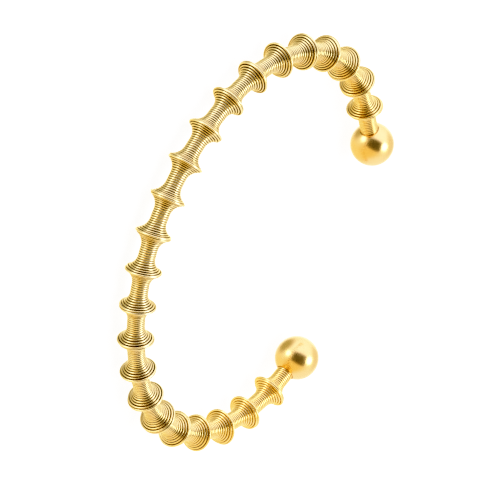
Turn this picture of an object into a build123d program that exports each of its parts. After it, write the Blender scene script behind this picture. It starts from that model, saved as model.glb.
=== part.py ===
from build123d import *
import os
from math import asin, atan2, cos, degrees, radians, sin, sqrt, tan

# Open cuff bracelet: one close-wound wire coil with a row of flared rims, threaded on a
# bent core wire whose ends sit in two balls. Units are millimetres, angles are degrees.
# The cuff lies on its side as it rests on a table: +Z is up, the opening faces +Y, and the
# origin is the middle of the underside of the bounding box.

# Centreline of the core wire, from the middle of the back to either end
back_radius = 36.9
back_half_angle = 44.5
side_radius = 24.5
side_angle = 96.3

# Wire coil: flares joined by narrow waists
flare_count = 23
flare_diameter = 6.2
rim_width = 0.5
rim_crown = 0.08
trumpet_length = 2.21
waist_diameter = 2.96
waist_length = 1.33
wire_diameter = 0.37
# The coil sits this far along the core towards -X
coil_shift = 1.86
# The middle of each waist is bent over this length, and the flares stay straight
waist_bend_length = 1.0

# Straight necks, from the middle of the last waist to the mouth of the ball's seat
neck_length_right = 1.13
neck_length_left = 1.77

# Ball ends, drilled for the coil and, more narrowly, for the core
ball_diameter = 7.32
coil_seat_depth = 1.2
core_seat_depth = 1.8

# Clearances
core_clearance = 0.1
ball_clearance = 0.05

# Worked out from the sizes above
flare_radius = flare_diameter / 2
waist_radius = waist_diameter / 2
bore_radius = waist_radius - wire_diameter
ball_radius = ball_diameter / 2
flare_pitch = rim_width + 2 * trumpet_length + waist_length
bend_reach = waist_bend_length / 2
last_waist_right = flare_count / 2 * flare_pitch - coil_shift
last_waist_left = flare_count / 2 * flare_pitch + coil_shift
# Between its bends the coil is straight and leaves the curved core by up to this much
straight_drift = waist_length / 2 * tan(flare_pitch / side_radius / 2)
core_radius = bore_radius - straight_drift - core_clearance
# From the mouth of a ball's seat to the ball's centre
mouth_to_centre = sqrt(ball_radius**2 - waist_radius**2)


def centreline(s):
    """Point on the core's centreline, and its heading, at the length s from the back's middle.

    A positive s leads to the right end, towards +X, and a negative s to the left end.
    """
    side = 1 if s >= 0 else -1
    curved = min(abs(s), last_waist_right if side > 0 else last_waist_left)
    straight = abs(s) - curved
    x = y = heading = 0.0
    for radius, angle in ((back_radius, back_half_angle), (side_radius, side_angle)):
        length = min(curved, radius * radians(angle))
        turned = heading + length / radius
        x += radius * (sin(turned) - sin(heading))
        y += radius * (cos(heading) - cos(turned))
        heading = turned
        curved -= length
    straight += curved
    x += straight * cos(heading)
    y += straight * sin(heading)
    return Vector(side * x, y), side * degrees(heading)


def towards(heading):
    """Unit vector in the cuff's plane at a heading."""
    return Vector(cos(radians(heading)), sin(radians(heading)))


def tube_section(start, direction):
    """Ring section of the coil's waist, square to a direction."""
    return Plane(origin=start, z_dir=direction) * (Circle(waist_radius) - Circle(bore_radius))


def make_flare(start, end):
    """One flare, with the straight part of the waist on either side, between two waist middles."""
    span = end - start
    half = span.length / 2 - bend_reach
    rim = rim_width / 2
    foot = rim + trumpet_length
    shoulder = flare_radius - rim_crown
    under_rim = flare_radius - wire_diameter
    outline = [
        Line((-half, waist_radius), (-foot, waist_radius)),
        TangentArc((-foot, waist_radius), (-rim, shoulder), tangent=(1, 0)),
        ThreePointArc((-rim, shoulder), (0, flare_radius), (rim, shoulder)),
        TangentArc((foot, waist_radius), (rim, shoulder), tangent=(-1, 0)),
        Line((foot, waist_radius), (half, waist_radius)),
        Line((half, waist_radius), (half, bore_radius)),
        Line((half, bore_radius), (foot, bore_radius)),
        TangentArc((foot, bore_radius), (0, under_rim), tangent=(-1, 0)),
        TangentArc((-foot, bore_radius), (0, under_rim), tangent=(1, 0)),
        Line((-foot, bore_radius), (-half, bore_radius)),
        Line((-half, bore_radius), (-half, waist_radius)),
    ]
    ring = revolve(make_face(outline), Axis.X)
    return Pos((start + end) / 2) * Rot(Z=degrees(atan2(span.Y, span.X))) * ring


def make_bend(corner, direction_in, direction_out):
    """The bent middle of a waist, turning from one flare's axis to the next."""
    turn = degrees(atan2(direction_in.cross(direction_out).Z, direction_in.dot(direction_out)))
    start = corner - direction_in * bend_reach
    section = tube_section(start, direction_in)
    if turn < 0.001:
        return extrude(section, 2 * bend_reach, dir=direction_in)
    bend_radius = bend_reach / tan(radians(turn / 2))
    centre = start + Vector(-direction_in.Y, direction_in.X) * bend_radius
    return revolve(section, Axis(centre, (0, 0, 1)), turn)


def make_neck(corner, direction, neck_length):
    """The straight end of the coil, from the last waist's bend into its seat in the ball."""
    length = neck_length + coil_seat_depth - bend_reach
    return extrude(tube_section(corner + direction * bend_reach, direction), length, dir=direction)


def make_coil(corners, direction_left, direction_right):
    """The whole coil as one hollow wall, with its flares, bends and necks fused."""
    chords = [(end - start).normalized() for start, end in zip(corners, corners[1:])]
    flares = [make_flare(start, end) for start, end in zip(corners, corners[1:])]
    incoming = [-direction_left] + chords
    outgoing = chords + [direction_right]
    bends = [make_bend(*bend) for bend in zip(corners, incoming, outgoing)]
    neck_left = make_neck(corners[0], direction_left, neck_length_left)
    neck_right = make_neck(corners[-1], direction_right, neck_length_right)
    return flares[0].fuse(*flares[1:], *bends, neck_left, neck_right)


def make_core():
    """The core wire: a round rod swept along the centreline, from seat to seat."""
    bend_end = radians(back_half_angle) * back_radius + radians(side_angle) * side_radius
    beyond = coil_seat_depth + core_seat_depth
    stops = [
        -last_waist_left - neck_length_left - beyond,
        -min(bend_end, last_waist_left),
        -radians(back_half_angle) * back_radius,
        radians(back_half_angle) * back_radius,
        min(bend_end, last_waist_right),
        last_waist_right + neck_length_right + beyond,
    ]
    points = [centreline(s)[0] for s in stops]
    middles = [centreline((a + b) / 2)[0] for a, b in zip(stops, stops[1:])]
    path = Wire([
        Line(points[0], points[1]),
        ThreePointArc(points[1], middles[1], points[2]),
        ThreePointArc(points[2], middles[2], points[3]),
        ThreePointArc(points[3], middles[3], points[4]),
        Line(points[4], points[5]),
    ])
    section = Plane(origin=points[0], z_dir=points[1] - points[0]) * Circle(core_radius)
    return sweep(section, path)


def make_ball(corner, direction, neck_length):
    """A ball end, drilled from its mouth for the coil and deeper for the core wire."""
    mouth = corner + direction * neck_length
    centre = mouth + direction * mouth_to_centre
    outside = mouth - direction * ball_radius
    coil_end = mouth + direction * coil_seat_depth
    coil_depth = ball_radius + coil_seat_depth + ball_clearance
    seat = Plane(origin=outside, z_dir=direction) * Circle(waist_radius + ball_clearance)
    drill = Plane(origin=coil_end, z_dir=direction) * Circle(core_radius + ball_clearance)
    ball = Pos(centre) * Sphere(ball_radius)
    ball -= extrude(seat, coil_depth, dir=direction)
    ball -= extrude(drill, core_seat_depth + ball_clearance, dir=direction)
    return ball, centre


# Middles of the waists, from the left end to the right, and the directions of the two tails
waist_stops = [flare_pitch * number - last_waist_left for number in range(flare_count + 1)]
waist_middles = [centreline(s)[0] for s in waist_stops]
tail_left = -towards(centreline(waist_stops[0])[1])
tail_right = towards(centreline(waist_stops[-1])[1])

ball_left, centre_left = make_ball(waist_middles[0], tail_left, neck_length_left)
ball_right, centre_right = make_ball(waist_middles[-1], tail_right, neck_length_right)
nodes = {
    "core_wire": make_core(),
    "wire_coil": make_coil(waist_middles, tail_left, tail_right),
    "ball_end_left": ball_left,
    "ball_end_right": ball_right,
}

# The balls are wider than the flares, so the cuff rests on both balls and on the back's rims,
# and its plane leans by a small angle
ball_reach = (centre_left.Y + centre_right.Y) / 2
lean = degrees(asin((ball_radius - flare_radius) / ball_reach))
resting = {name: Rot(X=lean) * shape for name, shape in nodes.items()}
box = Compound(list(resting.values())).bounding_box()
to_origin = Pos(-(box.min.X + box.max.X) / 2, -(box.min.Y + box.max.Y) / 2, -box.min.Z)

os.makedirs("parts", exist_ok=True)
for name, shape in resting.items():
    export_step(to_origin * shape, f"parts/{name}.step")
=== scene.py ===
"""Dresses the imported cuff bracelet: a real wound wire coil, two gilt ball ends and a small studio.

The cuff lies on its side on a pale floor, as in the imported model. The smooth coil wall of the
frame is replaced by the wire itself, wound turn by turn along the same centreline, and the ball
solids by finely rounded ones. The line's frame is the cuff's own flat plane, and the row's frame
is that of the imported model, where the cuff rests. Lengths are metres and angles are radians
unless a name says otherwise.
"""
from __future__ import annotations

import logging
import math
from dataclasses import astuple, dataclass, field
from enum import Enum

import bmesh
import bpy
import numpy as np
from mathutils import Matrix, Vector


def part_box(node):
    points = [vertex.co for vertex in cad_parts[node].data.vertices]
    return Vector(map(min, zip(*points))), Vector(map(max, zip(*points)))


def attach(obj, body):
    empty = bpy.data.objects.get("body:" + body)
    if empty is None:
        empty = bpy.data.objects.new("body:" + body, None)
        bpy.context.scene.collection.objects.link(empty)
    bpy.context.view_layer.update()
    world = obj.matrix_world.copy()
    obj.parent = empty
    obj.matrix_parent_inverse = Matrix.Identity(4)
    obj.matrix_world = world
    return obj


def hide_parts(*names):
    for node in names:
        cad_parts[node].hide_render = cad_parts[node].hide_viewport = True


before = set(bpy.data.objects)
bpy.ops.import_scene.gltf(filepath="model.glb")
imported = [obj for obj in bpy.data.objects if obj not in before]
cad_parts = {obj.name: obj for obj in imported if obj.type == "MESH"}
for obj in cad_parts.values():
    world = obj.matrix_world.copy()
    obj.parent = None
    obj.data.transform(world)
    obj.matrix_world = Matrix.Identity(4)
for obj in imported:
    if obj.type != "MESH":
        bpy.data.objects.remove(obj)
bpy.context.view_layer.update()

MM = 0.001
ROOT_BODY = "root"
IMAGE_SIDE = 480
# Vertex attributes that the wire's finish reads
GROOVE = "groove"
RICHNESS = "richness"
# Corners nearer than this are one corner
MERGE_DISTANCE = 1e-7
# Most values of a noise lie between these two
NOISE_RANGE = (0.3, 0.7)
# The curve of a tone mapping that acts on red, green and blue alike
COMBINED_CURVE = 3

Pair = tuple[float, float]
Triple = tuple[float, float, float]
Colour = tuple[float, float, float]
Socket = bpy.types.NodeSocket

log = logging.getLogger("cuff")


class End(Enum):
    """The two ends of the cuff, with the sign of their side along X."""

    LEFT = -1
    RIGHT = 1

    @property
    def node(self) -> str:
        """Name of the ball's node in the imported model."""
        return f"ball_end_{self.name.lower()}"


class Stretch(Enum):
    """The stretches that the long coil is divided into, as its first flare and the one after."""

    LEFT = (0, 8)
    BACK = (8, 15)
    RIGHT = (15, 23)


class Easing(Enum):
    """How a ramp goes from one level to the other, with the node's own name for it."""

    STEADY = "LINEAR"
    SOFT = "SMOOTHSTEP"


def eased(share: np.ndarray) -> np.ndarray:
    """Shares from 0 to 1, eased in and out."""
    return share * share * (3 - 2 * share)


def unit(vectors: np.ndarray) -> np.ndarray:
    """The same directions with a length of 1."""
    return vectors / np.linalg.norm(vectors, axis=-1, keepdims=True)


def per_end(left: float, right: float) -> dict[End, float]:
    """A dataclass field with a value of its own for each end."""
    return field(default_factory=lambda: {End.LEFT: left, End.RIGHT: right})


@dataclass(frozen=True)
class Pattern:
    """A cloudy noise that breaks up an even surface.

    Args:
        scale: Cells to the metre.
        detail: Octaves of finer cells.
    """

    scale: float
    detail: float


@dataclass
class NodeBench:
    """Short calls for adding and joining shader nodes in one tree."""

    tree: bpy.types.NodeTree

    @property
    def shader(self) -> bpy.types.Node:
        """The tree's Principled shader."""
        return self.tree.nodes["Principled BSDF"]

    def add(self, kind: str, **settings: object) -> bpy.types.Node:
        """Adds a node.

        Args:
            kind: Class name of the node.
            settings: Attributes to set on the node.

        Returns:
            The new node.
        """
        node = self.tree.nodes.new(kind)
        for key, value in settings.items():
            setattr(node, key, value)
        return node

    def feed(self, target: Socket, value: Socket | Colour | Vector | float) -> None:
        """Gives an input what it takes: a link from an output, or else a fixed value.

        Args:
            target: The input.
            value: An output of another node, a linear colour, a vector or a number.
        """
        if isinstance(value, Socket):
            self.tree.links.new(value, target)
        elif target.type == "RGBA":
            target.default_value = (*value, 1.0)
        else:
            target.default_value = value

    def set(self, node: bpy.types.Node, **values: Socket | Colour | float) -> bpy.types.Node:
        """Feeds inputs by name, with an underscore for a space.

        Args:
            node: The node whose inputs are fed.
            values: What each input takes, by its name.

        Returns:
            The same node.
        """
        for key, value in values.items():
            self.feed(node.inputs[key.replace("_", " ")], value)
        return node

    def coordinates(self, kind: str) -> Socket:
        """Adds texture coordinates of one kind."""
        return self.add("ShaderNodeTexCoord").outputs[kind]

    def attribute(self, name: str) -> Socket:
        """Reads an attribute of the mesh's vertices."""
        return self.add("ShaderNodeAttribute", attribute_name=name).outputs["Fac"]

    def noise(self, place: Socket, pattern: Pattern) -> Socket:
        """Adds a noise and gives its value, about 0 to 1."""
        node = self.add("ShaderNodeTexNoise")
        return self.set(node, Vector=place, Scale=pattern.scale, Detail=pattern.detail).outputs["Fac"]

    def ramp(self, value: Socket, source: Pair, result: Pair, easing: Easing) -> Socket:
        """Maps one range of a value onto another, and stays level beyond it.

        Args:
            value: The value.
            source: Both ends of its range.
            result: What the two ends become.
            easing: How it goes from one end to the other.

        Returns:
            The mapped value.
        """
        node = self.add("ShaderNodeMapRange", interpolation_type=easing.value)
        self.set(node, Value=value, From_Min=source[0], From_Max=source[1])
        self.set(node, To_Min=result[0], To_Max=result[1])
        return node.outputs["Result"]

    def spread(self, noise: Socket, result: Pair) -> Socket:
        """Maps the usual range of a noise onto another range."""
        return self.ramp(noise, NOISE_RANGE, result, Easing.STEADY)

    def mix(self, share: Socket, first: Socket | Colour, second: Socket | Colour) -> Socket:
        """Mixes two colours.

        Args:
            share: How much of the second colour, from 0 to 1.
            first: The colour where the share is 0.
            second: The colour where the share is 1.

        Returns:
            The mixed colour.
        """
        node = self.add("ShaderNodeMix", data_type="RGBA")
        self.set(node, Factor=share, A=first, B=second)
        return node.outputs["Result"]

    def bump(self, height: Socket, depth: float, strength: float) -> Socket:
        """Adds a relief of some depth and gives the bent normal."""
        node = self.add("ShaderNodeBump")
        return self.set(node, Height=height, Distance=depth, Strength=strength).outputs["Normal"]

    def calculate(
        self, operation: str, *values: Socket | Vector | float, kind: str = "ShaderNodeMath"
    ) -> Socket:
        """Works one value out of others.

        Args:
            operation: The node's name for the operation.
            values: What it takes, in order.
            kind: Class name of the node.

        Returns:
            The result.
        """
        node = self.add(kind, operation=operation)
        for target, value in zip(node.inputs, values):
            self.feed(target, value)
        return node.outputs["Value"]

    def dot(self, direction: Socket, axis: Vector) -> Socket:
        """How far a direction points along a fixed axis."""
        return self.calculate("DOT_PRODUCT", direction, axis, kind="ShaderNodeVectorMath")


@dataclass(frozen=True)
class Finish:
    """A surface finish, made as one node material.

    Args:
        name: Name of the material.
        slot: The record's material slot, or None for what isn't part of the cuff; not used.
    """

    name: str
    slot: str | None

    def build(self) -> bpy.types.Material:
        """Makes the material.

        Returns:
            The finished node material.
        """
        material = bpy.data.materials.new(self.name)
        material.use_nodes = True
        self.wire_nodes(NodeBench(material.node_tree))
        return material

    def wire_nodes(self, bench: NodeBench) -> None:
        """Adds the finish's own nodes. Each finish has its own version."""
        raise NotImplementedError


@dataclass(frozen=True)
class PolishedGilt(Finish):
    """Bright gold plating on drawn wire, with fine marks left by the drawing.

    Args:
        bright: The plating's lighter tone.
        deep: Its deeper tone, in patches.
        rich: Its tone where the gold is rich.
        edge: Its tone where it is seen at a slant.
        groove: Colour of the painted shade in the grooves between turns.
        roughness: The least and the most roughness.
        tone: How the two tones are patched.
        marks: How the fine marks lie.
        mark_depth: Depth of the marks.
        mark_strength: Share of that depth that shows.
    """

    bright: Colour = (1.0, 0.84, 0.51)
    deep: Colour = (0.98, 0.79, 0.43)
    rich: Colour = (1.0, 0.755, 0.36)
    edge: Colour = (1.0, 0.87, 0.62)
    groove: Colour = (0.15, 0.09, 0.01)
    roughness: Pair = (0.17, 0.25)
    tone: Pattern = Pattern(320.0, 3.0)
    marks: Pattern = Pattern(5200.0, 2.0)
    mark_depth: float = 0.002 * MM
    mark_strength: float = 0.4

    def wire_nodes(self, bench: NodeBench) -> None:
        """Adds the plating's tone, its uneven polish, its fine marks and the painted shade in its
        grooves.

        Args:
            bench: The material's nodes.
        """
        place = bench.coordinates("Object")
        marks = bench.noise(place, self.marks)
        colour = bench.mix(bench.noise(place, self.tone), self.bright, self.deep)
        # The groove attribute paints shade between the turns; the richness attribute is the gold's own
        # tone
        for attribute, cover in ((RICHNESS, self.rich), (GROOVE, self.groove)):
            colour = bench.mix(bench.attribute(attribute), colour, cover)
        bench.set(
            bench.shader,
            Base_Color=colour,
            Metallic=1.0,
            Specular_Tint=self.edge,
            Roughness=bench.spread(marks, self.roughness),
            Normal=bench.bump(marks, self.mark_depth, self.mark_strength),
        )


@dataclass(frozen=True)
class SatinGilt(Finish):
    """Softly polished gold plating, with a slight unevenness of the buffed ball.

    Args:
        bright: The plating's lighter tone.
        deep: Its deeper tone, in patches.
        roughness: The least and the most roughness.
        tone: How the tones and the polish are patched.
        grain: How the buffed grain lies.
        grain_depth: Depth of the grain.
        grain_strength: Share of that depth that shows.
    """

    bright: Colour = (0.94, 0.67, 0.33)
    deep: Colour = (0.9, 0.62, 0.275)
    roughness: Pair = (0.23, 0.31)
    tone: Pattern = Pattern(260.0, 4.0)
    grain: Pattern = Pattern(2600.0, 6.0)
    grain_depth: float = 0.004 * MM
    grain_strength: float = 0.5

    def wire_nodes(self, bench: NodeBench) -> None:
        """Adds the plating's tone, its uneven polish and its buffed grain.

        Args:
            bench: The material's nodes.
        """
        place = bench.coordinates("Object")
        tone = bench.noise(place, self.tone)
        grain = bench.noise(place, self.grain)
        bench.set(
            bench.shader,
            Base_Color=bench.mix(tone, self.bright, self.deep),
            Metallic=1.0,
            Roughness=bench.spread(tone, self.roughness),
            Normal=bench.bump(grain, self.grain_depth, self.grain_strength),
        )


@dataclass(frozen=True)
class DrawnBrass(Finish):
    """The bare core wire, a duller brass seen only through the gaps between turns.

    Args:
        bright: The brass's lighter tone.
        deep: Its deeper tone, in patches.
        roughness: The least and the most roughness.
        stain: How the tones and the dullness are patched.
    """

    bright: Colour = (0.62, 0.42, 0.15)
    deep: Colour = (0.45, 0.29, 0.09)
    roughness: Pair = (0.35, 0.5)
    stain: Pattern = Pattern(900.0, 4.0)

    def wire_nodes(self, bench: NodeBench) -> None:
        """Adds a dull, slightly stained brass.

        Args:
            bench: The material's nodes.
        """
        stain = bench.noise(bench.coordinates("Object"), self.stain)
        bench.set(
            bench.shader,
            Base_Color=bench.mix(stain, self.bright, self.deep),
            Metallic=1.0,
            Roughness=bench.spread(stain, self.roughness),
        )


@dataclass(frozen=True)
class PaleSweep(Finish):
    """An almost even matt white, lit softly from within like a light table.

    Args:
        pale: The darker of its two tones.
        paler: The lighter one, in clouds.
        roughness: Its roughness.
        specular_level: How much it shines, against 0.5 for common things.
        cloud: How the clouds lie.
        glow: Colour of its own light.
        glow_strength: Strength of that light.
    """

    pale: Colour = (0.44, 0.445, 0.455)
    paler: Colour = (0.46, 0.465, 0.475)
    roughness: float = 0.9
    specular_level: float = 0.1
    cloud: Pattern = Pattern(6.0, 3.0)
    glow: Colour = (1.0, 1.0, 1.0)
    glow_strength: float = 0.80

    def wire_nodes(self, bench: NodeBench) -> None:
        """Adds the cloudy white and its glow.

        Args:
            bench: The material's nodes.
        """
        cloud = bench.noise(bench.coordinates("Object"), self.cloud)
        bench.set(
            bench.shader,
            Base_Color=bench.mix(cloud, self.pale, self.paler),
            Roughness=self.roughness,
            Specular_IOR_Level=self.specular_level,
            Emission_Color=self.glow,
            Emission_Strength=self.glow_strength,
        )


def shared_material(finish: Finish) -> bpy.types.Material:
    """The finish's material, made once."""
    return bpy.data.materials.get(finish.name) or finish.build()


def mesh_from(shape: bmesh.types.BMesh, name: str) -> bpy.types.Mesh:
    """Turns a finished bmesh into a mesh.

    Args:
        shape: The bmesh, which is freed.
        name: Name of the mesh.

    Returns:
        The mesh.
    """
    mesh = bpy.data.meshes.new(name)
    shape.to_mesh(mesh)
    shape.free()
    return mesh


def place_piece(
    name: str, mesh: bpy.types.Mesh, finish: Finish, nodes: list[str]
) -> bpy.types.Object:
    """Adds a finished mesh as a piece of the cuff.

    Args:
        name: Name of the piece.
        mesh: Its mesh, already in place.
        finish: Its finish.
        nodes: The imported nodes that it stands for.

    Returns:
        The piece.
    """
    mesh.materials.append(shared_material(finish))
    mesh.shade_smooth()
    piece = bpy.data.objects.new(name, mesh)
    bpy.context.scene.collection.objects.link(piece)
    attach(piece, ROOT_BODY)
    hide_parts(*nodes)
    return piece


def read_rings(mesh: bpy.types.Mesh, count: int) -> np.ndarray:
    """Reads the corners of a tube, ring by ring.

    Args:
        mesh: The tube's mesh.
        count: The number of its rings.

    Returns:
        An array of rings of points (x, y, z).
    """
    corners = np.empty(len(mesh.vertices) * 3, dtype=np.float32)
    mesh.vertices.foreach_get("co", corners)
    return corners.reshape(count, -1, 3).astype(float)


def store_shares(mesh: bpy.types.Mesh, name: str, shares: np.ndarray) -> None:
    """Stores one share for each vertex, as an attribute of the mesh."""
    mesh.attributes.new(name, "FLOAT", "POINT").data.foreach_set("value", shares.ravel())


def close_ends(mesh: bpy.types.Mesh) -> None:
    """Closes a tube's open ends with flat faces, and turns all faces outwards.

    Args:
        mesh: The tube's mesh.
    """
    tube = bmesh.new()
    tube.from_mesh(mesh)
    bmesh.ops.holes_fill(tube, edges=[edge for edge in tube.edges if edge.is_boundary], sides=0)
    bmesh.ops.recalc_face_normals(tube, faces=tube.faces[:])
    tube.to_mesh(mesh)
    tube.free()


@dataclass
class Centreline:
    """The core's line, a flat C of a back arc, two side arcs and straight tails.

    Lengths along it are measured from the middle of the back, positive towards the right end.

    Args:
        back_radius: Radius of the back's arc.
        back_half_angle: Angle of half of that arc.
        side_radius: Radius of either side's arc.
        side_angle: Angle of that arc.
    """

    back_radius: float = 36.9 * MM
    back_half_angle: float = math.radians(44.5)
    side_radius: float = 24.5 * MM
    side_angle: float = math.radians(96.3)

    def at(self, s: np.ndarray) -> tuple[np.ndarray, np.ndarray]:
        """Points and headings on the line, in its own flat plane.

        Args:
            s: Lengths from the middle of the back.

        Returns:
            An array of points (x, y) and one of headings from +X.
        """
        side = np.where(s >= 0, 1.0, -1.0)
        rest = np.abs(s)
        x = np.zeros_like(rest)
        y = np.zeros_like(rest)
        heading = np.zeros_like(rest)
        bends = ((self.back_radius, self.back_half_angle), (self.side_radius, self.side_angle))
        for radius, angle in bends:
            length = np.minimum(rest, radius * angle)
            turned = heading + length / radius
            x += radius * (np.sin(turned) - np.sin(heading))
            y += radius * (np.cos(heading) - np.cos(turned))
            heading = turned
            rest = rest - length
        x += rest * np.cos(heading)
        y += rest * np.sin(heading)
        return np.stack([side * x, y], axis=-1), side * heading


@dataclass(frozen=True)
class Stain:
    """The painted shade in the groove between two turns, where the neighbouring turn shades the wire.

    A place on the wire faces the next turn by the cosine between the way out of the wire and the
    way to that turn.

    Args:
        start: Facing at which the painted shade begins.
        full: Facing from which it is full.
        depth: How dark it is there, from 0 to 1.
    """

    start: float
    full: float
    depth: float


@dataclass
class Winding:
    """Points of the wire's middle line along one stretch, in the row's frame.

    Args:
        points: The points (x, y, z), evenly spaced by angle.
        before: The points one turn before them.
        after: The points one turn after them.
        place: Their lengths along the centreline.
    """

    points: np.ndarray
    before: np.ndarray
    after: np.ndarray
    place: np.ndarray


@dataclass
class WireCoil:
    """The close-wound coil: one long wire whose turns widen into a row of flared rims.

    Args:
        line: The centreline that it is wound along.
        finish: Finish of the wire.
        flare_count: Number of flares.
        flare_pitch: Length along the line from rim to rim.
        shift: How far the coil sits along the line towards the left end.
        wire_diameter: Thickness of the wire at the waists, before it is pressed.
        waist_flatness: Height of the pressed wire there, as a share of its thickness.
        rim_radius: Outer radius of a rim.
        waist_radius: Outer radius of a waist.
        rim_half_width: Half the width of a rim's level top.
        flare_reach: Length along the line from a rim's middle to the foot of its trumpet.
        rim_turn_gap: From the middle of one turn to the next, at a rim.
        waist_turn_gap: From the middle of one turn to the next, at a waist.
        rim_swell: How much thicker the wire is at a rim, as a share of its thickness.
        end_reach: How far the coil runs past the middle of its last waist.
        rim_stain: The painted shade in the grooves at a rim.
        waist_stain: The painted shade in the grooves at a waist.
        stain_fade: Power of the distance from a rim by which one passes into the other.
        end_wear: How far the painted groove shade fades out at the very end, from 0 to 1.
        end_richness: How rich the gold is at the very end, from 0 to 1.
        handled_length: Length along the line over which the painted groove shade fades and the gold
            grows rich.
        points_per_turn: Points of the wire's middle line in each turn.
        ring_resolution: Bevel resolution of the wire's round section.
        samples_per_metre: Samples of the line by which the turns are spaced.
    """

    line: Centreline
    finish: Finish
    flare_count: int = 23
    flare_pitch: float = 6.25 * MM
    shift: float = 1.86 * MM
    wire_diameter: float = 0.37 * MM
    waist_flatness: float = 0.55
    rim_radius: float = 3.1 * MM
    waist_radius: float = 1.48 * MM
    rim_half_width: float = 0.09 * MM
    flare_reach: float = 2.4 * MM
    rim_turn_gap: float = 0.445 * MM
    waist_turn_gap: float = 0.375 * MM
    rim_swell: float = 0.13
    end_reach: dict[End, float] = per_end(left=2.97 * MM, right=2.33 * MM)
    rim_stain: Stain = Stain(start=0.32, full=0.70, depth=1.0)
    waist_stain: Stain = Stain(start=0.58, full=0.94, depth=0.65)
    stain_fade: float = 0.55
    end_wear: dict[End, float] = per_end(left=0.45, right=0.85)
    end_richness: dict[End, float] = per_end(left=1.0, right=1.0)
    handled_length: dict[End, float] = per_end(left=42.0 * MM, right=58.0 * MM)
    points_per_turn: int = 56
    ring_resolution: int = 3
    samples_per_metre: float = 2.0e5

    @property
    def wire_radius(self) -> float:
        """Half the wire's diameter."""
        return self.wire_diameter / 2

    @property
    def whole(self) -> Pair:
        """First and last length along the line of the whole coil."""
        return self.limits(Stretch.LEFT)[0], self.limits(Stretch.RIGHT)[1]

    def limits(self, stretch: Stretch) -> Pair:
        """First and last length along the line of one stretch of the coil.

        Args:
            stretch: The stretch.

        Returns:
            The two lengths from the middle of the back.
        """
        first, after = (
            (number - self.flare_count / 2) * self.flare_pitch - self.shift for number in stretch.value
        )
        if stretch is Stretch.LEFT:
            first -= self.end_reach[End.LEFT]
        if stretch is Stretch.RIGHT:
            after += self.end_reach[End.RIGHT]
        return first, after

    def from_rim(self, s: np.ndarray) -> np.ndarray:
        """Distance along the line to the nearest rim, at most half a pitch.

        Args:
            s: Lengths from the middle of the back.

        Returns:
            The distances.
        """
        middle = (self.flare_count - 1) / 2
        reach = self.flare_count / 2 * self.flare_pitch
        local = np.clip(s + self.shift, -reach, reach)
        nearest = np.clip(np.round(local / self.flare_pitch + middle), 0, self.flare_count - 1)
        return np.abs(local - (nearest - middle) * self.flare_pitch)

    def rim_share(self, distance: np.ndarray) -> np.ndarray:
        """How near a rim a place is: 1 at the rim, easing to 0 at the foot of the trumpet."""
        return eased(1 - np.clip(distance / self.flare_reach, 0.0, 1.0))

    def swell(self, distance: np.ndarray) -> np.ndarray:
        """How many times thicker the wire is, to fill the wider pitch of the turns near a rim."""
        return 1 + self.rim_swell * self.rim_share(distance)

    def turn_gap(self, distance: np.ndarray) -> np.ndarray:
        """Distance between the middles of two neighbouring turns, along the trumpet's slope."""
        return self.waist_turn_gap + (self.rim_turn_gap - self.waist_turn_gap) * self.rim_share(distance)

    def turn_radius(self, distance: np.ndarray) -> np.ndarray:
        """Radius of the wire's middle line, by the distance from a rim.

        The trumpet is an arc that leaves the waist along the axis and meets the rim.

        Args:
            distance: Distances along the line from the nearest rim.

        Returns:
            The radii.
        """
        top = self.rim_radius - self.wire_radius * (1 + self.rim_swell)
        low = self.waist_radius - self.wire_radius
        length = self.flare_reach - self.rim_half_width
        rise = top - low
        arc = (rise**2 + length**2) / (2 * rise)
        from_foot = np.clip(self.flare_reach - distance, 0.0, length)
        return np.where(distance < self.rim_half_width, top, low + arc - np.sqrt(arc**2 - from_foot**2))

    def turned_by(self) -> tuple[np.ndarray, np.ndarray]:
        """How far the wire has turned round the line, all along the coil and a little beyond.

        Returns:
            Lengths along the line, and the angle that the wire has turned by at each.
        """
        first, last = self.whole
        start, end = first - self.flare_reach, last + self.flare_reach
        s = np.linspace(start, end, int((end - start) * self.samples_per_metre))
        step = s[1] - s[0]
        distance = self.from_rim(s)
        slope = np.gradient(self.turn_radius(distance), step)
        rate = math.tau * np.sqrt(1 + slope**2) / self.turn_gap(distance)
        return s, np.concatenate([[0.0], np.cumsum((rate[1:] + rate[:-1]) / 2 * step)])

    def wind(self, stretch: Stretch, pose: RestPose) -> Winding:
        """Winds the wire's middle line along one stretch.

        Args:
            stretch: The stretch of the coil.
            pose: How the flat line lies in the row's frame.

        Returns:
            The winding.
        """
        s, angle = self.turned_by()
        turn = self.points_per_turn
        angle_step = math.tau / turn
        first, last = np.round(np.interp(self.limits(stretch), s, angle) / angle_step)
        turned = np.arange(first - turn, last + 1 + turn) * angle_step
        place = np.interp(turned, angle, s)
        flat, heading = self.line.at(place)
        radius = self.turn_radius(self.from_rim(place))
        aside = radius * np.cos(turned)
        x = flat[:, 0] - aside * np.sin(heading)
        y = flat[:, 1] + aside * np.cos(heading)
        points = pose.to_row(np.stack([x, y, radius * np.sin(turned)], axis=-1))
        inner = slice(turn, -turn)
        return Winding(points[inner], points[: -2 * turn], points[2 * turn :], place[inner])

    def build(self, stretch: Stretch, pose: RestPose) -> bpy.types.Object:
        """Makes one stretch of the wire, as a closed tube that is pressed and given painted shade in its
        grooves.

        Args:
            stretch: The stretch of the coil.
            pose: How the flat line lies in the row's frame.

        Returns:
            The finished piece.
        """
        name = f"coil_wire_{stretch.name.lower()}"
        winding = self.wind(stretch, pose)
        mesh = self.sweep_tube(name, winding)
        self.mark_grooves(mesh, winding)
        self.flatten(mesh, winding)
        close_ends(mesh)
        return place_piece(name, mesh, self.finish, ["wire_coil"])

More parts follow.
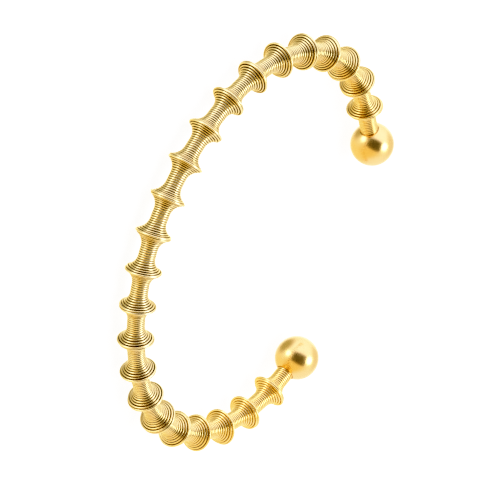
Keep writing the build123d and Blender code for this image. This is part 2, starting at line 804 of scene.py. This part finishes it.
    def sweep_tube(self, name: str, winding: Winding) -> bpy.types.Mesh:
        """Sweeps the wire's round section along its middle line.

        Args:
            name: Name of the mesh.
            winding: The wire's middle line.

        Returns:
            The tube, open at its ends, with one ring of vertices for each point.
        """
        curve = bpy.data.curves.new(name, "CURVE")
        curve.dimensions = "3D"
        curve.bevel_depth = self.wire_radius
        curve.bevel_resolution = self.ring_resolution
        spline = curve.splines.new("POLY")
        spline.use_smooth = True
        count = len(winding.points)
        spline.points.add(count - 1)
        spline.points.foreach_set("co", np.column_stack([winding.points, np.ones(count)]).ravel())
        spline.points.foreach_set("radius", self.swell(self.from_rim(winding.place)))
        holder = bpy.data.objects.new(name, curve)
        bpy.context.scene.collection.objects.link(holder)
        bpy.context.view_layer.update()
        swept = holder.evaluated_get(bpy.context.evaluated_depsgraph_get())
        mesh = bpy.data.meshes.new_from_object(swept)
        bpy.data.objects.remove(holder)
        bpy.data.curves.remove(curve)
        mesh.name = name
        mesh.materials.clear()
        return mesh

    def mark_grooves(self, mesh: bpy.types.Mesh, winding: Winding) -> None:
        """Stores how much painted shade each vertex gets in its groove and how rich its gold is, from 0
        to 1.

        The painted groove shade is wide and dark at the rims and narrow and faint at the waists. Towards
        the ends it fades to bright, and the gold is richer.

        Args:
            mesh: The wire's mesh, still round.
            winding: The wire's middle line.
        """
        facing = self.facing_turns(mesh, winding)
        away = np.clip(self.from_rim(winding.place) / self.flare_reach, 0.0, 1.0)
        faded = away[:, None] ** self.stain_fade
        limits = zip(astuple(self.rim_stain), astuple(self.waist_stain))
        start, full, depth = (rim + (waist - rim) * faded for rim, waist in limits)
        unworn = 1 - self.towards_ends(winding.place, self.end_wear)
        level = np.clip((facing - start) / (full - start), 0.0, 1.0)
        # Painted shade: darkest where the wire faces the next turn, fading towards the ends
        store_shares(mesh, GROOVE, depth * unworn[:, None] * eased(level))
        richness = self.towards_ends(winding.place, self.end_richness)
        store_shares(mesh, RICHNESS, np.repeat(richness, facing.shape[1]))

    def facing_turns(self, mesh: bpy.types.Mesh, winding: Winding) -> np.ndarray:
        """Works out how far each vertex of the wire faces a neighbouring turn.

        Args:
            mesh: The wire's mesh, one ring of vertices for each point.
            winding: The wire's middle line.

        Returns:
            For each ring and each of its vertices, the cosine between the way out of the wire and
            the way to the nearer turn.
        """
        outwards = unit(read_rings(mesh, len(winding.points)) - winding.points[:, None])
        facing = np.zeros(outwards.shape[:2])
        for neighbour in (winding.before, winding.after):
            towards = unit(neighbour - winding.points)
            facing = np.maximum(facing, np.einsum("rki,ri->rk", outwards, towards))
        return facing

    def towards_ends(self, place: np.ndarray, shares: dict[End, float]) -> np.ndarray:
        """A share that grows from 0 towards the ends.

        Args:
            place: Lengths along the line.
            shares: The share at the very end, by end.

        Returns:
            The share at each length.
        """
        first, last = self.whole
        grown = np.zeros_like(place)
        for end, away in ((End.LEFT, place - first), (End.RIGHT, last - place)):
            grown += shares[end] * eased(np.clip(1 - away / self.handled_length[end], 0.0, 1.0))
        return grown

    def flatten(self, mesh: bpy.types.Mesh, winding: Winding) -> None:
        """Presses the wire flatter where it is wound tightest, and keeps its outer crest.

        Args:
            mesh: The wire's mesh, one ring of vertices for each point.
            winding: The wire's middle line.
        """
        rings = read_rings(mesh, len(winding.points))
        along = winding.after - winding.before
        out = unit(np.cross(np.gradient(winding.points, axis=0), along))
        height = np.einsum("rki,ri->rk", rings - winding.points[:, None], out)
        crest = height.max(axis=1, keepdims=True)
        pressed = (1 - self.waist_flatness) * (1 - self.rim_share(self.from_rim(winding.place)))
        rings += ((crest - height) * pressed[:, None])[:, :, None] * out[:, None]
        mesh.vertices.foreach_set("co", rings.astype(np.float32).ravel())


@dataclass
class RestPose:
    """How the line's flat plane lies in the row's frame: leaned a little, then moved.

    Args:
        turn: The lean, as a rotation.
        shift: The move that follows it.
    """

    turn: Matrix
    shift: Vector

    @classmethod
    def resting(cls, coil: WireCoil, ball: BallEnd) -> RestPose:
        """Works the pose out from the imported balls, which rest on the floor beside the back's rims.

        Args:
            coil: The coil, for its rims.
            ball: The ball end, for its size and place on the line.

        Returns:
            The pose.
        """
        centres = {end: ball.centre_on_line(coil, end) for end in End}
        reach = sum(centre.y for centre in centres.values()) / len(centres)
        lean = math.asin((ball.radius - coil.rim_radius) / reach)
        turn = Matrix.Rotation(lean, 3, "X")
        low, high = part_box(End.RIGHT.node)
        return cls(turn, (low + high) / 2 - turn @ centres[End.RIGHT])

    def to_row(self, points: np.ndarray) -> np.ndarray:
        """Moves points from the line's frame into the row's frame."""
        return points @ np.array(self.turn).T + np.array(self.shift)

    def direction(self, vector: Vector) -> Vector:
        """Turns a direction from the line's frame into the row's frame."""
        return self.turn @ vector


@dataclass
class BallEnd:
    """A gilt ball, drilled for the coil's end.

    Args:
        finish: Finish of the ball.
        radius: Its radius.
        seat_radius: Radius of the seat that the coil's end goes into.
        seat_depth: Depth of the seat.
        lip: Size of the rounded lip round the seat's mouth.
        lip_steps: Steps round the lip, each how far it sinks and how far it draws in, as shares
            of the lip.
        around: Faces round the ball.
        rows: Faces from pole to pole.
        neck: Length of the coil from the middle of its last waist to the seat's mouth.
    """

    finish: Finish
    radius: float = 3.66 * MM
    seat_radius: float = 1.53 * MM
    seat_depth: float = 1.25 * MM
    lip: float = 0.06 * MM
    lip_steps: tuple[Pair, ...] = ((0.3, 0.7), (0.7, 0.3))
    around: int = 96
    rows: int = 72
    neck: dict[End, float] = per_end(left=1.77 * MM, right=1.13 * MM)

    def axis_on_line(self, coil: WireCoil, end: End) -> tuple[Vector, Vector]:
        """The mouth of the ball's seat and the direction into the ball, in the line's frame.

        Args:
            coil: The coil that ends in the ball.
            end: Which end.

        Returns:
            The mouth's middle and the direction.
        """
        last_waist = end.value * coil.flare_count / 2 * coil.flare_pitch - coil.shift
        point, heading = coil.line.at(np.array([last_waist + end.value * self.neck[end]]))
        direction = Vector((math.cos(heading[0]), math.sin(heading[0]), 0.0)) * end.value
        return Vector((*point[0], 0.0)), direction

    def centre_on_line(self, coil: WireCoil, end: End) -> Vector:
        """Middle of the ball at one end of the coil, in the line's frame."""
        mouth, direction = self.axis_on_line(coil, end)
        return mouth + direction * math.sqrt(self.radius**2 - coil.waist_radius**2)

    def build(self, end: End, coil: WireCoil, pose: RestPose) -> bpy.types.Object:
        """Makes the ball with its seat, and turns the seat towards the coil.

        Args:
            end: Which end.
            coil: The coil that ends in the ball.
            pose: How the flat line lies in the row's frame.

        Returns:
            The finished piece.
        """
        ball = bmesh.new()
        bmesh.ops.create_uvsphere(
            ball, u_segments=self.around, v_segments=self.rows, radius=self.radius
        )
        self.open_seat(ball)
        low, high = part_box(end.node)
        into_ball = pose.direction(self.axis_on_line(coil, end)[1])
        turn = (-into_ball).to_track_quat("Z", "Y").to_matrix().to_4x4()
        placed = Matrix.Translation((low + high) / 2) @ turn
        bmesh.ops.transform(ball, matrix=placed, verts=ball.verts[:])
        name = f"{end.node}_gilt"
        return place_piece(name, mesh_from(ball, name), self.finish, [end.node])

    def open_seat(self, ball: bmesh.types.BMesh) -> None:
        """Cuts the ball open at its top, rounds the lip there and sinks the seat.

        Args:
            ball: The whole ball, round the origin.
        """
        bmesh.ops.bisect_plane(
            ball,
            geom=ball.verts[:] + ball.edges[:] + ball.faces[:],
            dist=MERGE_DISTANCE,
            plane_co=(0, 0, math.sqrt(self.radius**2 - (self.seat_radius + self.lip) ** 2)),
            plane_no=(0, 0, 1),
            clear_outer=True,
        )
        mouth = [edge for edge in ball.edges if edge.is_boundary]
        for sink, shrink in self.lip_steps:
            mouth = self.draw_in(ball, mouth, sink * self.lip, shrink * self.lip)
        mouth = self.draw_in(ball, mouth, self.seat_depth, 0.0)
        bmesh.ops.holes_fill(ball, edges=mouth, sides=0)
        bmesh.ops.remove_doubles(ball, verts=ball.verts[:], dist=MERGE_DISTANCE)
        bmesh.ops.recalc_face_normals(ball, faces=ball.faces[:])

    @staticmethod
    def draw_in(
        ball: bmesh.types.BMesh, ring: list[bmesh.types.BMEdge], sink: float, shrink: float
    ) -> list[bmesh.types.BMEdge]:
        """Extrudes a round opening's edge down along Z and in towards the axis.

        Args:
            ball: The ball.
            ring: The edges of the opening.
            sink: How far they go down.
            shrink: How far they go in.

        Returns:
            The new edges of the opening.
        """
        grown = bmesh.ops.extrude_edge_only(ball, edges=ring)["geom"]
        verts = [item for item in grown if isinstance(item, bmesh.types.BMVert)]
        edges = [item for item in grown if isinstance(item, bmesh.types.BMEdge)]
        share = 1 - shrink / verts[0].co.xy.length
        bmesh.ops.scale(ball, vec=(share, share, 1.0), verts=verts)
        bmesh.ops.translate(ball, vec=(0.0, 0.0, -sink), verts=verts)
        fresh = set(verts)
        return [edge for edge in edges if set(edge.verts) <= fresh]


@dataclass
class CoreWire:
    """The core wire that the coil is threaded on, shown as it is packed.

    Args:
        finish: Finish of the core.
        node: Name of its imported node.
    """

    finish: Finish
    node: str = "core_wire"

    def dress(self) -> bpy.types.Object:
        """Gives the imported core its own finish.

        Returns:
            The core.
        """
        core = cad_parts[self.node]
        core.data.materials.clear()
        core.data.materials.append(shared_material(self.finish))
        return core


@dataclass
class Floor:
    """The pale floor that the cuff rests on, which doesn't screen the tent's lower half.

    Args:
        finish: Finish of the floor.
        side: Length of its sides.
    """

    finish: Finish
    side: float = 6.0

    def build(self) -> None:
        """Adds the floor to the scene."""
        sheet = bmesh.new()
        bmesh.ops.create_grid(sheet, x_segments=1, y_segments=1, size=self.side / 2)
        mesh = mesh_from(sheet, "floor")
        mesh.materials.append(shared_material(self.finish))
        floor = bpy.data.objects.new("floor", mesh)
        floor.visible_glossy = False
        floor.visible_shadow = False
        bpy.context.scene.collection.objects.link(floor)


@dataclass(frozen=True)
class Panel:
    """A round soft patch of the tent, brighter, darker or warmer than the rest.

    Args:
        azimuth: Its middle's compass angle in degrees, from +Y towards +X.
        elevation: Its middle's height above the horizon in degrees.
        full: Angle in degrees from the middle within which it has its own glow.
        edge: Angle in degrees at which it has faded out.
        glow: Linear red, green and blue.
    """

    azimuth: float
    elevation: float
    full: float
    edge: float
    glow: Colour

    @property
    def direction(self) -> Vector:
        """The way from the cuff to the panel's middle."""
        around, up = math.radians(self.azimuth), math.radians(self.elevation)
        return Vector((math.sin(around) * math.cos(up), math.cos(around) * math.cos(up), math.sin(up)))

    def share(self, bench: NodeBench, towards: Socket) -> Socket:
        """How far a direction meets the panel, from 0 outside it to 1 where it is full."""
        limits = (math.cos(math.radians(self.edge)), math.cos(math.radians(self.full)))
        return bench.ramp(bench.dot(towards, self.direction), limits, (0.0, 1.0), Easing.SOFT)


@dataclass(frozen=True)
class Opening:
    """The tent's dark rectangular opening, laid out on a plane at a distance of 1 from the cuff.

    Args:
        glow: Linear red, green and blue of what lies behind it.
        centre: From the cuff to its middle.
        side: Along its width, before that is squared to the centre.
        half_width: Half its width.
        half_height: Half its height.
        softness: Half the width of its soft edge.
        least_depth: How far a direction has to point towards the centre to meet the plane.
    """

    glow: Colour = (0.14, 0.145, 0.11)
    centre: Triple = (-0.19, -0.66, 0.727)
    side: Triple = (0.95, -0.31, 0.0)
    half_width: float = 0.55
    half_height: float = 0.85
    softness: float = 0.07
    least_depth: float = 0.1

    def share(self, bench: NodeBench, towards: Socket) -> Socket:
        """How far a direction meets the opening.

        Args:
            bench: The tent's nodes.
            towards: The direction.

        Returns:
            1 within the opening and 0 beyond it, with a soft edge.
        """
        centre = Vector(self.centre).normalized()
        side = Vector(self.side)
        across = (side - centre * side.dot(centre)).normalized()
        depth = bench.dot(towards, centre)
        share = bench.calculate("GREATER_THAN", depth, self.least_depth)
        for axis, half in ((across, self.half_width), (centre.cross(across), self.half_height)):
            place = bench.calculate("DIVIDE", bench.dot(towards, axis), depth)
            limits = (half - self.softness, half + self.softness)
            inside = bench.ramp(bench.calculate("ABSOLUTE", place), limits, (1.0, 0.0), Easing.SOFT)
            share = bench.calculate("MULTIPLY", share, inside)
        return share


@dataclass(frozen=True)
class Tent:
    """The bright tent round the cuff, with its soft panels and its dark opening.

    Args:
        glow: Linear red, green and blue of the plain tent.
        pale_side: Cool light on the left.
        warm_side: Warm light on the right.
        right_side: Paler light beside the warm one.
        low_warm_side: Warm light from below on the right.
        far_side: Bright light from below, beyond the gap between the balls.
        high_far_side: Dimmer light above that.
        dim_corner: Shade low on the left, behind the cuff's back.
        low_softbox: Small bright softbox low behind the cuff's back.
        opening: The dark opening.
    """

    glow: Colour = (0.98, 0.96, 0.92)
    pale_side: Panel = Panel(-95, 22, 15, 80, (1.24, 1.25, 1.47))
    warm_side: Panel = Panel(128, 12, 15, 75, (0.94, 0.74, 0.42))
    right_side: Panel = Panel(68, 18, 12, 46, (1.03, 0.99, 1.05))
    low_warm_side: Panel = Panel(100, -50, 10, 50, (1.0, 0.86, 0.6))
    far_side: Panel = Panel(0, -28, 15, 50, (1.36, 1.36, 1.42))
    high_far_side: Panel = Panel(-8, 27, 12, 42, (0.84, 0.8, 0.74))
    dim_corner: Panel = Panel(-112, -58, 14, 42, (0.47, 0.46, 0.34))
    low_softbox: Panel = Panel(-161, -20, 10, 15, (2.9, 2.9, 3.0))
    opening: Opening = Opening()

    def build(self) -> None:
        """Makes the world a tent that is fixed in the room, each patch laid over those before."""
        world = bpy.data.worlds.new("tent")
        bpy.context.scene.world = world
        world.use_nodes = True
        bench = NodeBench(world.node_tree)
        towards = bench.coordinates("Generated")
        near_sides = (self.pale_side, self.warm_side, self.right_side, self.low_warm_side)
        far_sides = (self.far_side, self.high_far_side)
        details = (self.dim_corner, self.low_softbox, self.opening)
        colour = self.glow
        for patch in (*near_sides, *far_sides, *details):
            colour = bench.mix(patch.share(bench, towards), colour, patch.glow)
        bench.set(world.node_tree.nodes["Background"], Color=colour)


@dataclass(frozen=True)
class Lamp:
    """A round softbox aimed at the cuff from above.

    Args:
        name: Name of the lamp.
        direction: From the cuff to the lamp.
        distance: Its distance.
        diameter: Its diameter.
        power: Its power in watts.
    """

    name: str = "overhead_softbox"
    direction: Triple = (-0.115, 0.266, 0.957)
    distance: float = 1.2
    diameter: float = 0.72
    power: float = 3.2

    def build(self) -> None:
        """Adds the lamp to the scene."""
        light = bpy.data.lights.new(self.name, "AREA")
        light.shape = "DISK"
        light.size = self.diameter
        light.energy = self.power
        lamp = bpy.data.objects.new(self.name, light)
        towards = Vector(self.direction).normalized()
        lamp.location = towards * self.distance
        lamp.rotation_euler = towards.to_track_quat("Z", "Y").to_euler()
        bpy.context.scene.collection.objects.link(lamp)


@dataclass(frozen=True)
class Camera:
    """The long-lens camera at the photograph's angle to the cuff.

    Args:
        azimuth: Compass angle of its line of sight, from +Y towards -X.
        elevation: How far it looks down.
        roll: How far it is turned about its line of sight.
        distance: Its distance from the target.
        target: The point that it looks at.
        focal_pixels: Its focal length in pixels of the picture.
        sight: How far it sees.
    """

    azimuth: float = math.radians(-15.198)
    elevation: float = math.radians(32.744)
    roll: float = math.radians(-115.279)
    distance: float = 1392.5 * MM
    target: Triple = (-0.64 * MM, -2.76 * MM, 3.4 * MM)
    focal_pixels: float = 8583.5
    sight: float = 20.0

    def build(self) -> None:
        """Adds the camera and makes it the scene's own."""
        lens = bpy.data.cameras.new("camera")
        lens.lens = self.focal_pixels / IMAGE_SIDE * lens.sensor_width
        lens.clip_end = self.sight
        camera = bpy.data.objects.new("camera", lens)
        level = math.cos(self.elevation)
        ahead = (-math.sin(self.azimuth) * level, math.cos(self.azimuth) * level)
        look = Vector((*ahead, -math.sin(self.elevation)))
        aim = look.to_track_quat("-Z", "Y").to_matrix()
        camera.location = Vector(self.target) - look * self.distance
        camera.rotation_euler = (Matrix.Rotation(self.roll, 3, look) @ aim).to_euler()
        bpy.context.scene.collection.objects.link(camera)
        bpy.context.scene.camera = camera


@dataclass(frozen=True)
class Tone:
    """A photograph's contrast, with deeper darks and clearer lights.

    Args:
        white_level: Scene level that comes out white.
        points: Points of the tone curve, each a scene level and what it comes out as.
    """

    white_level: float = 1.1
    points: tuple[Pair, ...] = (
        (0.05, 0.004),
        (0.08, 0.022),
        (0.14, 0.087),
        (0.2, 0.165),
        (0.3, 0.297),
        (0.42, 0.455),
        (0.6, 0.69),
        (0.75, 0.85),
        (0.92, 0.955),
    )

    def build(self) -> None:
        """Gives the scene's view the tone curve."""
        view = bpy.context.scene.view_settings
        view.view_transform = "Standard"
        view.look = "None"
        view.use_curve_mapping = True
        curve = view.curve_mapping.curves[COMBINED_CURVE]
        for level, result in self.points:
            curve.points.new(level / self.white_level, result)
        view.curve_mapping.white_level = (self.white_level,) * 3
        view.curve_mapping.update()


@dataclass
class Studio:
    """The studio round the cuff.

    Args:
        floor: The pale floor.
        tent: The tent round it.
        lamp: The lamp above.
        camera: The camera.
        tone: The picture's tone.
    """

    floor: Floor
    tent: Tent = Tent()
    lamp: Lamp = Lamp()
    camera: Camera = Camera()
    tone: Tone = Tone()

    def build(self) -> None:
        """Adds the whole studio."""
        for part in (self.floor, self.tent, self.lamp, self.camera, self.tone):
            part.build()


def main() -> None:
    """Builds the cuff and its studio, and reports each piece's face count."""
    logging.basicConfig(level=logging.INFO, format="%(name)s: %(message)s")
    coil = WireCoil(Centreline(), PolishedGilt("gilt_wire", "coil_wire"))
    ball = BallEnd(SatinGilt("gilt_ball", "ball_metal"))
    core = CoreWire(DrawnBrass("core_brass", "core_metal"))
    pose = RestPose.resting(coil, ball)
    Studio(Floor(PaleSweep("pale_floor", None))).build()
    pieces = [core.dress()]
    pieces += [coil.build(stretch, pose) for stretch in Stretch]
    pieces += [ball.build(end, coil, pose) for end in End]
    for piece in pieces:
        log.info("%s: %d faces", piece.name, len(piece.data.polygons))


if __name__ == "__main__":
    main()
